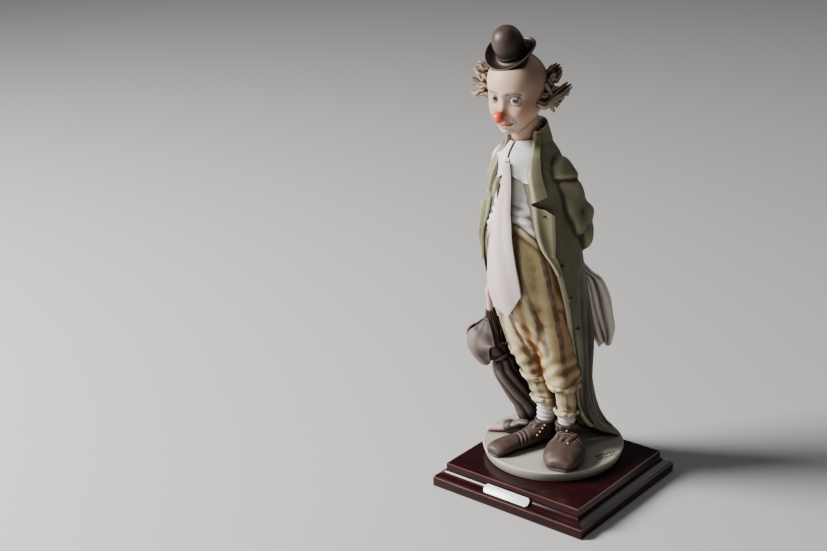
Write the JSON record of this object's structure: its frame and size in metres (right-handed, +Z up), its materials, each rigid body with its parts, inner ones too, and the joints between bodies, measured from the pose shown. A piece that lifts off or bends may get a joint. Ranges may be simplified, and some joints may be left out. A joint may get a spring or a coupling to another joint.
{
  "type": "clown figurine",
  "caption": "Painted resin figurine of a standing clown in bowler hat, long open coat, tie and baggy trousers, with a folded umbrella, on a round base and a moulded wooden plinth",
  "frame": {"origin": "Middle of the plinth's underside, on the surface that the figurine stands on", "axes": "+Z up, -Y towards the front of the plinth that carries the plate, +X towards the figure's left hand"},
  "size_m": [0.15, 0.143, 0.3955],
  "materials": {
    "painted_resin": "hand-painted matt resin with brown shading",
    "plinth_lacquer": "dark red-brown gloss lacquer",
    "plate_enamel": "smooth off-white metal plate"
  },
  "bodies": {
    "root": {"clown_figure": "painted_resin", "wood_plinth": "plinth_lacquer", "name_plate": "plate_enamel"}
  },
  "joints": []
}
